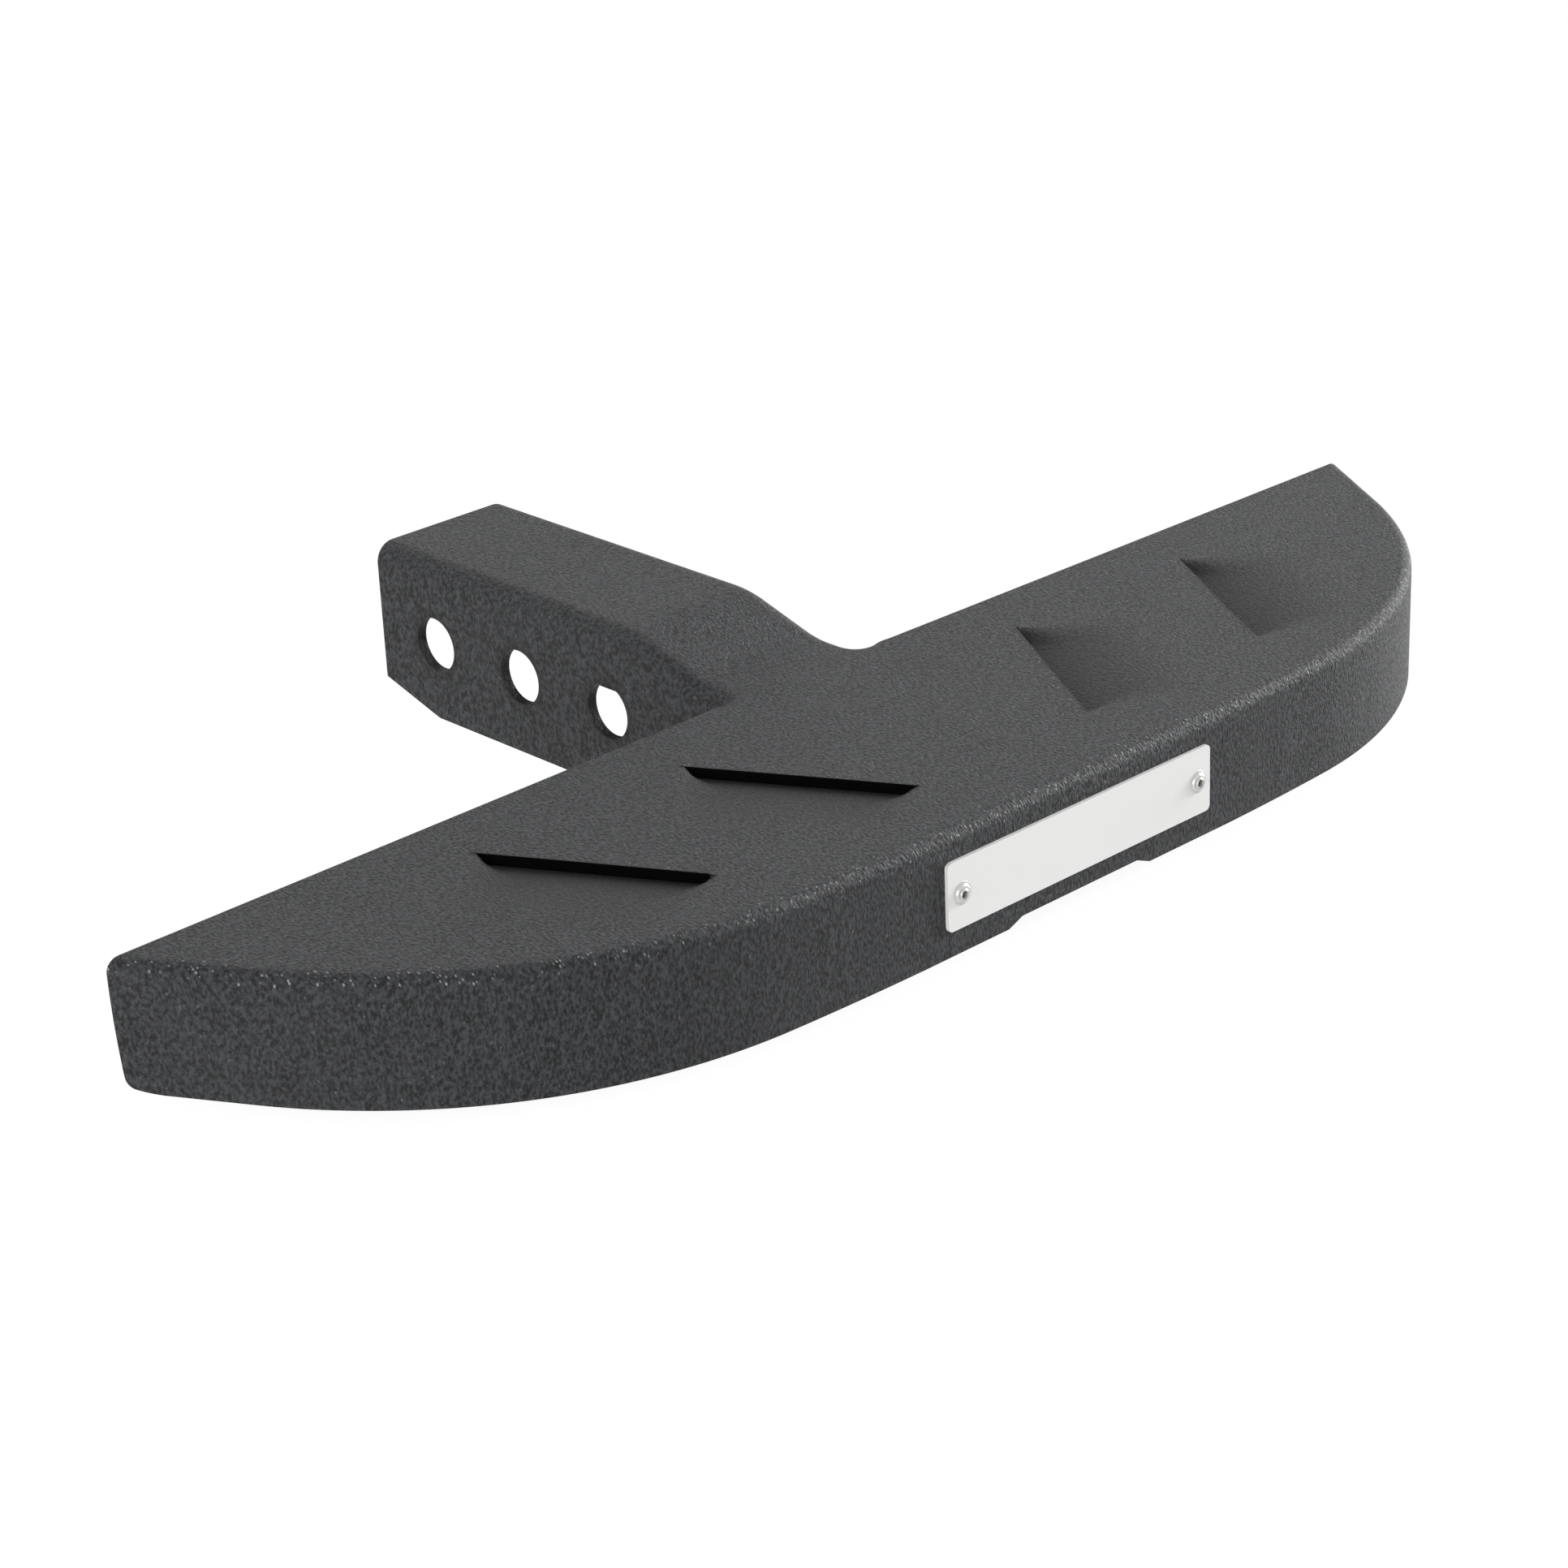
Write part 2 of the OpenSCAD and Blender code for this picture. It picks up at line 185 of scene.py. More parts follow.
# %% [markdown]
# ## Textured coating
# The steel carries a thick charcoal coating with a fine uneven grain, like a sprayed bed liner.
# Its lumps are about a millimetre across, and here and there one catches the light: these glints
# are painted into the colour as bright specks. More glints are painted on the folded edge and on
# the slits' lips, and painted shade darkens the cuts, the louvres' pressed sides and the pin
# holes' rims. Noise on Object coordinates gives the grain without a seam. Where the painted glints
# and the painted shade go is a matter of the shape, so the mesh carries two marks for them, one
# for the glints and one for the shade.

# %% Helpers for materials
def nodes_of(name):
    """A new material with its shader, and two small helpers that add and join nodes."""
    material = bpy.data.materials.new(name)
    material.use_nodes = True
    tree = material.node_tree
    shader = tree.nodes["Principled BSDF"]

    def node(kind, operation=None, **inputs):
        """Adds a node; an input is given by its name, or as _1 by its number."""
        made = tree.nodes.new(kind)
        if operation:
            made.operation = operation
        for key, value in inputs.items():
            socket = int(key[1:]) if key[1:].isdigit() else key.replace("_", " ")
            made.inputs[socket].default_value = value
        return made

    def join(a, b):
        """Links an output to an input."""
        tree.links.new(a, b)
    return material, shader, node, join


def remap(node, join, source, low, high, to_low=0.0, to_high=1.0):
    """Stretches a value from low..high to another range, clamped at both ends."""
    made = node("ShaderNodeMapRange", From_Min=low, From_Max=high, To_Min=to_low, To_Max=to_high)
    join(source, made.inputs["Value"])
    return made.outputs["Result"]


def blend(node, join, factor, first, second):
    """Mixes two colours, or a colour and a socket, by a factor socket."""
    made = node("ShaderNodeMix")
    made.data_type = "RGBA"
    join(factor, made.inputs[0])
    for socket, colour in ((made.inputs[6], first), (made.inputs[7], second)):
        if isinstance(colour, tuple):
            socket.default_value = (*colour, 1)
        else:
            join(colour, socket)
    return made.outputs[2]


def mark_of(node, name):
    """Value socket of a named mark at the mesh's points."""
    made = node("ShaderNodeAttribute")
    made.attribute_name = name
    return made.outputs["Fac"]


# %% Charcoal coating
STRETCH = (1.0, 0.56, 0.5)  # the lumps are longer from front to back and downwards
GRAIN, FINE, CLOUDS, SPECKS = 1400.0, 2300.0, 70.0, 1250.0  # lumps to a metre, before stretching
HOLLOW, LUMP = (0.0023, 0.0025, 0.0028), (0.0525, 0.0545, 0.059)
# Colours of a faint cloud, of the painted glints as bright specks, and of the painted shade
CLOUD, GLINT, SHADE = (0.058, 0.059, 0.061), (0.38, 0.385, 0.39), (0.0012, 0.0012, 0.0013)


def coating():
    """Charcoal coating: lumpy tone, painted glints as bright specks, painted shade in the recesses,
    and a bump of the same lumps. A cell is a speck where its random number plus 0.45 times the
    glint mark is over 0.94, and is the brighter the more it is over."""
    material, shader, node, join = nodes_of("charcoal_coating")
    place = node("ShaderNodeTexCoord")
    stretch = node("ShaderNodeMapping", Scale=STRETCH)
    join(place.outputs["Object"], stretch.inputs["Vector"])
    grain = node("ShaderNodeTexNoise", Scale=GRAIN, Detail=3.0, Roughness=0.62)
    fine = node("ShaderNodeTexNoise", Scale=FINE, Detail=1.0)
    clouds = node("ShaderNodeTexNoise", Scale=CLOUDS, Detail=3.0)
    specks = node("ShaderNodeTexVoronoi", Scale=SPECKS)
    for texture in (grain, fine, clouds, specks):
        join(stretch.outputs[0], texture.inputs["Vector"])
    painted_glint, painted_shade = mark_of(node, "painted_glint"), mark_of(node, "painted_shade")

    # Tone: dark hollows, paler lumps, and a faint cloud over both
    lumps = remap(node, join, grain.outputs["Fac"], 0.39, 0.635)
    tone = blend(node, join, lumps, HOLLOW, LUMP)
    patch = remap(node, join, clouds.outputs["Fac"], 0.35, 0.65, 0.0, 0.12)
    tone = blend(node, join, patch, tone, CLOUD)

    # Painted glints: bright round dots in a few chosen cells, more of them on the ridges
    pick = node("ShaderNodeSeparateColor")
    join(specks.outputs["Color"], pick.inputs[0])
    chance = node("ShaderNodeMath", "MULTIPLY_ADD", _1=0.45)
    join(painted_glint, chance.inputs[0])
    join(pick.outputs[0], chance.inputs[2])
    chosen = remap(node, join, chance.outputs[0], 0.94, 1.10)
    dot = remap(node, join, specks.outputs["Distance"], 0.08, 0.36, 1.0, 0.0)
    lit = node("ShaderNodeMath", "MULTIPLY")
    join(chosen, lit.inputs[0])
    join(dot, lit.inputs[1])
    tone = blend(node, join, lit.outputs[0], tone, GLINT)
    # Painted shade: the shade mark darkens the colour to near-black at the slits, over the louvres'
    # pressed sides and round the pin holes
    dark = remap(node, join, painted_shade, 0.0, 1.0)
    tone = blend(node, join, dark, tone, SHADE)
    join(tone, shader.inputs["Base Color"])

    # Bump and gloss: the lumps stand out and shine a little more than the hollows
    height = node("ShaderNodeMath", "MULTIPLY_ADD", _1=0.4)
    join(fine.outputs["Fac"], height.inputs[0])
    join(grain.outputs["Fac"], height.inputs[2])
    bump = node("ShaderNodeBump", Strength=1.0, Distance=0.7 * MM)
    join(height.outputs[0], bump.inputs["Height"])
    join(bump.outputs["Normal"], shader.inputs["Normal"])
    rough = remap(node, join, grain.outputs["Fac"], 0.35, 0.65, 0.62, 0.46)
    worn = node("ShaderNodeMath", "MULTIPLY_ADD", _1=0.12)
    join(painted_glint, worn.inputs[0])
    join(rough, worn.inputs[2])
    join(worn.outputs[0], shader.inputs["Roughness"])
    shader.inputs["Specular IOR Level"].default_value = 0.3
    return material


charcoal = coating()
print(charcoal.name, "with", len(charcoal.node_tree.nodes), "nodes")

# %% [markdown]
# ## Outline of the tread
# Seen from above the front is flat in the middle, runs over a shallow shoulder into a wide corner,
# and ends straight. The skirt is folded down all along this line. `edge_lines` gives the line at
# any inset. At each end every line runs on to the swept rear edge, where the sheet was cut.

# %% Lines of the outline
NOTCH, NOTCH_H = np.array([22.0, 27.0]), 2.0  # start and end of the notch's slanted side, height
FLAT_N, SHOULDER_N, CORNER_N, END_N = 22, 17, 57, 26  # points on each stretch
CORNER = np.array([HALF_L, -SWEEP])
END_WAY = along(END_A)
END_PT = CORNER - END_L * END_WAY
RISE = SHOULDER_R * (1 - math.cos(SHOULDER_A))
CORNER_R = (END_PT[1] + DEPTH - RISE) / (math.cos(SHOULDER_A) - math.cos(END_A))
CORNER_C = END_PT - CORNER_R * outward(END_A)
SHOULDER_C = CORNER_C + (CORNER_R - SHOULDER_R) * outward(SHOULDER_A)
FRONT_X = SHOULDER_C[0]
LEFT_RIGHT = np.array([-1, 1])  # turns a point of the right half (x, y) into one of the left half


def to_rear(points):
    """Distance to the swept rear line along the straight end: minus (y + slope times x) over
    (sine + slope times cosine) of the end's angle, the same on both halves."""
    lag = points[:, 1] + SLOPE * np.abs(points[:, 0])
    return -lag / (END_WAY[1] + SLOPE * END_WAY[0])


def edge_lines(inset, back=0.0):
    """Lines at each inset from the outline, right half: flat, two arcs of radius less inset, and a
    straight that stops short of the rear edge by the distance back."""
    inset = np.asarray(inset, float)[None, :, None]
    x = np.unique(np.concatenate([np.linspace(0, FRONT_X, FLAT_N)[:-1], NOTCH]))
    flat = np.stack([x, np.full_like(x, -DEPTH)], -1)[:, None] + inset * np.array([0, 1.0])
    a = np.linspace(0, SHOULDER_A, SHOULDER_N)[:-1]
    shoulder = SHOULDER_C + (SHOULDER_R - inset) * outward(a)[:, None]
    a = np.linspace(SHOULDER_A, END_A, CORNER_N)[:-1]
    corner = CORNER_C + (CORNER_R - inset) * outward(a)[:, None]
    t = (1 - np.linspace(1, 0, END_N) ** 1.5)[:, None, None]
    start = END_PT - inset[0] * outward(END_A)
    end = start + t * (to_rear(start) - back)[None, :, None] * END_WAY
    return np.concatenate([flat, shoulder, corner, end])


print("corner radius", round(CORNER_R, 1), "mm, front flat to x", round(FRONT_X, 1), "mm")

# %% [markdown]
# ## Skirt
# The skirt is a section carried along the outline: a quarter round that leaves the tread, then a
# straight drop. Its lower edge rises into a shallow notch in the middle, hangs a little lower
# round the corners, and rounds off at the two ends.

# %% Skirt
SAG, SAG_FROM, SAG_RUN = 0.9, 70, 110  # how much lower the edge hangs round the corners
TIP_RISE, TIP_RUN, TIP_R = 1.5, 11, 2.6  # how the edge rises and rounds off at its free ends
TIP_X = 200  # how far out the free ends begin
BEND_N, DROP_N, LEAN = 9, 12, 1.3  # points round the bend and down the drop, lean of the end


def both_halves(right):
    """The left half mirrored and turned round, then the right half."""
    left = right[:0:-1] * np.array([-1.0] + [1.0] * (right.shape[-1] - 1))
    return np.concatenate([left, right])


def skirt_foot(line):
    """Height of the skirt's lower edge: a notch in the middle, slightly lower round the corners,
    and rising at the end along a shallow curve and a small round."""
    x = np.abs(line[:, 0])
    notch_side = (NOTCH[1] - NOTCH[0]) / NOTCH_H
    notch = np.clip((NOTCH[1] - x) / notch_side, 0, NOTCH_H)
    foot = -SKIRT + notch - SAG * ease((x - SAG_FROM) / SAG_RUN)
    d = np.linalg.norm(line - line[-1], axis=1)
    slow = np.clip(TIP_RUN - d, 0, TIP_RUN) * (x > TIP_X)
    quick = np.clip(TIP_R - d, 0, TIP_R) * (x > TIP_X)
    return foot + TIP_RISE * (slow / TIP_RUN) ** 2 + TIP_R - np.sqrt(TIP_R ** 2 - quick * quick)


def edge_grid():
    """Quarter round from the flat of the tread, then straight down to the lower edge, where the
    free end leans forward by 1.3 mm times the drop squared; also how near each point is to the
    round's crest: 0.4 + 0.6 sine of twice the turn - 0.3 times the sixth power of its sine."""
    turn = np.linspace(0, math.pi / 2, BEND_N)
    drop = np.linspace(0, 1, DROP_N)[1:]
    inset = np.concatenate([BEND_R - BEND_R * np.sin(turn), 0 * drop])
    lines = edge_lines(inset, np.concatenate([0 * turn, LEAN * drop ** 2]))
    foot = skirt_foot(lines[:, -1])
    z = np.broadcast_to(-BEND_R + BEND_R * np.cos(turn), (len(lines), BEND_N))
    down = -BEND_R + (foot[:, None] + BEND_R) * drop
    points = np.concatenate([lines, np.concatenate([z, down], 1)[..., None]], -1)
    # The crest value sets how many glints are painted along the skirt's bend
    crest = np.concatenate([0.4 + 0.6 * np.sin(2 * turn) - 0.3 * np.sin(turn) ** 6, 0 * drop])
    return both_halves(points), crest


skirt, crest = edge_grid()
print("skirt grid", skirt.shape, "from x", skirt[..., 0].min(), "to", skirt[..., 0].max())

# %% [markdown]
# ## Root of the shank
# Where the tread runs into the shank its rear edge turns through a small round and begins to curl
# down, until it is the folded edge of the channel. `shank_edge` carries one section from the
# tread's cut edge round the root and along the shank. Its bend grows from nothing to a right angle
# round the root. The ramp lifts the sheet from the tread to the shank on two arcs and a slope.

# %% Ramp
SLOPE_A = math.atan(SLOPE)
ROOT_X = HALF_W + ROOT_R
ROOT_Y = (ROOT_R - ROOT_X * math.sin(SLOPE_A)) / math.cos(SLOPE_A)
STRIP, LIP = SHANK_R + 3, 4.0  # flat beside the fold that belongs to the edge, and its lip
RAMP_RUN = RAMP_R * math.sin(RAMP_A)
RAMP_END = RAMP_Y + RAMP_L


def ramp_z(y):
    """Height of the sheet's top: level, a hollow arc, a slope of 7 in 24, a round arc, level."""
    low = RAMP_R - np.sqrt(np.maximum(RAMP_R ** 2 - np.clip(y - RAMP_Y, 0, RAMP_RUN) ** 2, 0))
    high = DROP - RAMP_R + np.sqrt(RAMP_R ** 2 - np.clip(RAMP_END - y, 0, RAMP_RUN) ** 2)
    slope = RAMP_R * (1 - math.cos(RAMP_A)) + (y - RAMP_Y - RAMP_RUN) * math.tan(RAMP_A)
    return np.where(y < RAMP_Y + RAMP_RUN, low, np.where(y > RAMP_END - RAMP_RUN, high, slope))


shank_y = np.concatenate([[ROOT_Y, RAMP_Y], np.arange(RAMP_Y + 1.5, RAMP_END + 2, 1.5),
                          np.linspace(RAMP_END + 4, REACH, 24)])
print("ramp from y", RAMP_Y, "to", RAMP_END, "mm, shank to", REACH, "mm")


# %% Folded edge of the shank
def curl(bend, lip):
    """Section of the edge for each turn angle, as distance from the edge, and height: a flat, an
    arc (radius times sine; radius times cosine less 1), and a lip straight on from the arc."""
    bend, lip = bend[:, None], lip[:, None]
    reach = SHANK_R * np.sin(bend) + lip * np.cos(bend)
    flat = STRIP + (reach - STRIP) * np.linspace(0, 1, 4)[None, :-1]
    turn = bend * np.linspace(0, 1, 10)[None]
    arc_q, arc_z = reach - SHANK_R * np.sin(turn), SHANK_R * (np.cos(turn) - 1)
    out = lip * np.linspace(0, 1, 4)[None, 1:]
    lip_q = arc_q[:, -1:] - out * np.cos(bend)
    lip_z = arc_z[:, -1:] - out * np.sin(bend)
    return np.concatenate([flat, arc_q, lip_q], 1), np.concatenate([0 * flat, arc_z, lip_z], 1)


def shank_edge():
    """The edge's section carried round the root, radius ROOT_R plus distance, then along y."""
    k = np.linspace(0, 1, 15)
    q, z = curl(math.pi / 2 * ease(k), LIP * ease(k))
    a = (1.5 * math.pi - SLOPE_A + (math.pi - 1.5 * math.pi + SLOPE_A) * k)[:, None]
    root_x, root_y = ROOT_X + (ROOT_R + q) * np.cos(a), ROOT_Y + (ROOT_R + q) * np.sin(a)
    root = np.stack([root_x, root_y, z], -1)
    y = shank_y[1:]
    q, z = curl(np.full(len(y), math.pi / 2), np.full(len(y), LIP))
    side_y = np.broadcast_to(y[:, None], q.shape)
    straight = np.stack([HALF_W - q, side_y, z + ramp_z(y)[:, None]], -1)
    return np.concatenate([root, straight])


edge = shank_edge()
print("shank edge grid", edge.shape)

# %% [markdown]
# ## Louvres
# Each louvre starts as a straight slit. A punch pushes the metal on its outer side down, so the
# sheet slopes away from the slit's edge and leaves a dark opening that grips a boot. The pressed
# area is like a D seen from above. Its depth is a product: full along the slit with blunt ends,
# and hollow across.

# %% Louvres
LOUVRE_L, LOUVRE_W, LOUVRE_D, KERF = 64.0, 34.0, 2.85, 0.15
LOUVRE_A = math.radians(30)
LOUVRE_MID = np.array([[47.8, -49.3], [117.8, -49.3]])
SLIT_N = 56
U_DIR = np.array([math.cos(LOUVRE_A), -math.sin(LOUVRE_A)])
V_DIR = np.array([math.sin(LOUVRE_A), math.cos(LOUVRE_A)])


def louvre_axes(points):
    """Places on the axes of the nearest louvre: u from the slit outwards, v along the slit."""
    right = np.stack([np.abs(points[:, 0]), points[:, 1]], -1)[:, None] - LOUVRE_MID
    u, v = right @ U_DIR, right @ V_DIR
    near = np.argmin(np.abs(v) + np.abs(u - LOUVRE_W / 2), 1)
    pick = np.arange(len(points))
    return u[pick, near], v[pick, near]


def louvre_depth(points):
    """Depth below the tread: nearly one sheet at the slit, times (1 - u / width) to the power 2.2,
    times an ease at each end. The front end is 5 mm long at the slit and 13 mm long from u = 16 mm
    on. The rear end starts 1.2 mm later, is blunter at the slit, and 14 mm long from u = 11 mm."""
    u, v = louvre_axes(points)
    across = np.clip(1 - u / LOUVRE_W, 0, 1) ** 2.2
    front_run = 5 + 8 * ease(u / 16)
    rear_run = 1.2 + 13 * ease((u + 3) / 14)
    front = ease((LOUVRE_L / 2 + v) / front_run)
    rear = ease((LOUVRE_L / 2 - 1.2 - v) / rear_run)
    return LOUVRE_D * across * front * rear * (u > -1e-4)


def painted_shade_of(points):
    """Painted shade, 0 to 1: 1 within 0.12 mm of a slit and 0 from 0.82 mm on; on the pressed
    side also 0.96 at the slit, easing to 0 at 42 mm and towards the slit's two ends."""
    u, v = louvre_axes(points)
    beyond = np.maximum(np.abs(v) - LOUVRE_L / 2, 0)
    aside = np.where(u > 0, 0.42 * u, np.abs(u + KERF))
    edge_near = 1 - ease((np.hypot(aside, beyond) - 0.12) / 0.7)
    # Painted shade over the pressed side, deepest at the slit and fading outwards
    pressed = 0.88 * ease(1 - u / 42) + 0.08 * ease(1 - u / 12)
    pressed *= ease((LOUVRE_L / 2 - np.abs(v)) / (7 + 0.45 * np.abs(u)))
    on_tread = (points[:, 2] > -6) * (points[:, 1] < 0)
    return np.maximum(edge_near, pressed * (u > 0)) * on_tread


def slit_loops():
    """Thin openings that the slits start from: an edge on u = 0, and one that bows out by the kerf
    times the root of 1 less the square of the place along it."""
    v = LOUVRE_L / 2 * np.linspace(-1, 1, SLIT_N)
    back = v[-2:0:-1]
    u = np.concatenate([0 * v, -KERF * np.sqrt(1 - (2 * back / LOUVRE_L) ** 2)])
    loop = u[:, None] * U_DIR + np.concatenate([v, back])[:, None] * V_DIR
    right = [mid + loop for mid in LOUVRE_MID]
    return right + [r * LEFT_RIGHT for r in right]


def louvre_grid(u_lines, v_lines):
    """Points over each louvre, on its own axes."""
    u, v = np.meshgrid(u_lines, v_lines)
    local = u.reshape(-1, 1) * U_DIR, v.reshape(-1, 1) * V_DIR
    right = np.vstack([mid + local[0] + local[1] for mid in LOUVRE_MID])
    return np.vstack([right, right * LEFT_RIGHT])


slits = slit_loops()
print(len(slits), "slits of", LOUVRE_L, "mm, pressed down by", LOUVRE_D, "mm")

# %% [markdown]
# ## The flat of the tread
# The loop runs along the inner line of the skirt's bend, the swept rear edge, the inner line round
# the root and the sides of the shank. It is filled with triangles and lifted: up the ramp towards
# the shank, and down into the louvres. The triangles are small only where the sheet is curved.

# %% The flat of the tread
COARSE_X, COARSE_Y, RAMP_STEP, LOUVRE_STEP = 4.5, 4.0, 1.5, 1.35  # distances between points
BESIDE_SLIT = [-0.85, -0.5, 0.3, 0.65]  # lines of points that keep the slit's edges crisp


def flat_loop():
    """Right half from the front to the shank's end, then the left half mirrored."""
    front = edge_lines([BEND_R])[:, 0]
    tip = edge[0, -1, :2]
    rear = front[-1] + (tip - front[-1]) * np.linspace(0, 1, 48)[1:, None]
    section = edge[0, ::-1, :2]
    rear = np.vstack([rear[:-1], section[:-1]])
    keep = np.concatenate([[True], np.linalg.norm(np.diff(rear, axis=0), axis=1) > 0.02])
    end_x = np.linspace(STRIP - HALF_W, HALF_W - STRIP, 9)[::-1][1:-1]
    right = np.vstack([front, rear[keep], edge[:, 0, :2]])
    left = right[:0:-1] * LEFT_RIGHT
    return np.vstack([right, np.stack([end_x, np.full_like(end_x, REACH)], -1), left])


def tread_points(loop, holes):
    """A coarse staggered grid, with fine points over the louvres and the ramp in its place, none
    too near a loop; then the lines beside the slits."""
    x, y = np.meshgrid(np.arange(-HALF_L, HALF_L + 1, COARSE_X), np.arange(-DEPTH, REACH, COARSE_Y))
    x = x + (np.arange(len(x)) % 2)[:, None] * COARSE_X / 2
    coarse = np.stack([x.ravel(), y.ravel()], -1)
    near = np.zeros(len(coarse), bool)
    for mid in LOUVRE_MID:
        local = np.stack([np.abs(coarse[:, 0]), coarse[:, 1]], -1) - mid
        u, v = local @ U_DIR, local @ V_DIR
        near |= (u > -6) & (u < LOUVRE_W + 5) & (np.abs(v) < 40)
    ramp_x, ramp_y = np.meshgrid(np.linspace(-14, 14, 8), np.arange(8, 54, RAMP_STEP))
    on_ramp = (np.abs(coarse[:, 0]) < 18) & (coarse[:, 1] > 6) & (coarse[:, 1] < 55)
    fine = louvre_grid(np.arange(-3.2, LOUVRE_W + 3, LOUVRE_STEP),
                       np.arange(-37, 37.1, LOUVRE_STEP))
    points = np.vstack([coarse[~near & ~on_ramp], fine,
                        np.stack([ramp_x.ravel(), ramp_y.ravel()], -1)])
    points = points[inside(points, loop)]
    points = points[gap_to(points, loop) > 0.9]
    for hole in holes:
        points = points[(gap_to(points, hole) > 1.1) & ~inside(points, hole)]
    beside = louvre_grid(BESIDE_SLIT, LOUVRE_L / 2 * np.linspace(-1, 1, SLIT_N))
    return np.vstack([points, beside])


loop = flat_loop()
flat, flat_faces = fill(loop, slits, tread_points(loop, slits))
height = ramp_z(flat[:, 1]) - louvre_depth(flat)
flat = np.concatenate([flat, height[:, None]], -1)
print("flat of the tread", len(flat), "points", len(flat_faces), "triangles")

# %% [markdown]
# ## Walls of the shank
# The two walls hang from the folded edges. Their front edges are square under the ramp, their rear
# lower corners are cut back, and three holes take the hitch pin. Each is flat, so it is filled in
# (y, z) and set down at the shank's side.

# %% Walls of the shank
WALL_STEP = 4.0  # distance between the points inside it


def wall_skin():
    """One wall as points (y, z): the outline with three round holes, filled with triangles."""
    y = shank_y[1:]
    top = np.stack([y, ramp_z(y) - SHANK_R - LIP], -1)
    cut_z, cut_y = WALL_Z + END_CUT_H, REACH - END_CUT_L
    end = np.stack([np.full(8, REACH), np.linspace(top[-1, 1], cut_z, 9)[1:]], -1)
    cut = np.linspace([REACH, cut_z], [cut_y, WALL_Z], 7)[1:]
    low = np.linspace([cut_y, WALL_Z], [RAMP_Y, WALL_Z], 30)[1:]
    front = np.linspace([RAMP_Y, WALL_Z], top[0], 9)[1:-1]
    outline = np.vstack([top, end, cut, low, front])
    a = np.linspace(0, 2 * math.pi, 65)[:-1]
    ring = PIN_R * np.stack([np.cos(a), np.sin(a)], -1)
    holes = [ring + [PIN[1] + k * PIN_PITCH, PIN[2]] for k in PIN_HOLES]
    y, z = np.meshgrid(np.arange(RAMP_Y, REACH, WALL_STEP), np.arange(WALL_Z, DROP, WALL_STEP))
    middle = np.stack([y.ravel(), z.ravel()], -1)
    middle = middle[inside(middle, outline)]
    for one in [outline] + holes:
        middle = middle[gap_to(middle, one) > 1.5]
    for hole in holes:
        middle = middle[~inside(middle, hole)]
    return fill(outline, holes, middle)


wall, wall_faces = wall_skin()
mirror = np.array([-1.0, 1, 1])
right_wall = np.stack([np.full(len(wall), HALF_W), wall[:, 0], wall[:, 1]], -1)
print("wall of the shank", len(wall), "points", len(wall_faces), "triangles")

# %% [markdown]
# ## The sheet as one piece
# Skirt, edges, flat and walls share their border points, so they merge into one skin, the sheet's
# outer face. Solidify gives it the sheet's thickness on the inside, as a press would leave it.
# Before that the skin gets its two marks: where more glints are painted, and where shade is painted.

# %% Marks for the coating
sheet_parts = [
    (skirt.reshape(-1, 3), grid_faces(*skirt.shape[:2])),
    (edge.reshape(-1, 3), grid_faces(*edge.shape[:2])),
    ((edge * mirror).reshape(-1, 3), grid_faces(*edge.shape[:2])[:, ::-1]),
    (flat, flat_faces),
    (right_wall, wall_faces),
    (right_wall * mirror, wall_faces[:, ::-1]),
]


def painted_glint_of(points):
    """Where more glints are painted as bright specks, and the roughness is a little higher: the
    skirt's crest, 0.4 on the line where its bend begins, and 0.4 along u = -1.5 mm on each slit's
    unpressed lip, easing to 0 at 1.5 mm from there."""
    painted_glint = np.zeros(len(points))
    painted_glint[:skirt[..., 0].size] = np.tile(crest, len(skirt))
    to_bend = np.linalg.norm(points[:, None, :2] - skirt[None, :, 0, :2], axis=-1).min(1)
    painted_glint[(to_bend < 0.01) & (points[:, 2] > -0.01)] = 0.4
    u, v = louvre_axes(points)
    on_lip = (np.abs(v) < LOUVRE_L / 2) & (points[:, 2] > -3.2) & (points[:, 1] < 0)
    return painted_glint + 0.4 * (1 - ease(np.abs(u + 1.5) / 1.5)) * on_lip


def hole_shade_of(points):
    """Painted shade on the rims of the pin holes: 0.7 at the edge, easing to 0 at 1.2 mm from it."""
    hole_y = points[:, 1, None] - PIN[1] - PIN_PITCH * PIN_HOLES
    rim = np.abs(np.hypot(hole_y, points[:, 2, None] - PIN[2]) - PIN_R).min(1)
    return 0.7 * (1 - ease(rim / 1.2)) * (np.abs(points[:, 0]) > 25)


sheet_points = np.vstack([points for points, _ in sheet_parts])
marks = {"painted_glint": painted_glint_of(sheet_points),
         "painted_shade": np.maximum(painted_shade_of(sheet_points), hole_shade_of(sheet_points))}
print("marks", {mark: round(values.mean(), 3) for mark, values in marks.items()})

# %% The sheet as one piece
step = make_piece("step_sheet", [(to_row(points), faces) for points, faces in sheet_parts],
                  charcoal, marks)
thick = step.modifiers.new("thickness", "SOLIDIFY")
thick.thickness = SHEET * MM
thick.offset = -1
thick.use_even_offset = True
thick.use_quality_normals = True
settle(step, 35)

# %% [markdown]
# ## The skirt's free ends
# Solidify pushes the inner skin square to the outer one. At the two rear corners the skirt meets
# the rear line at a slant, so its thickness would stand out behind the cut. The inner skin is slid
# back along the skirt there, until both stop on the same line.

# %% The skirt's free ends
TRIM_RUN, TRIM_X = 12, 205  # length of skirt that is slid, and how far out it lies


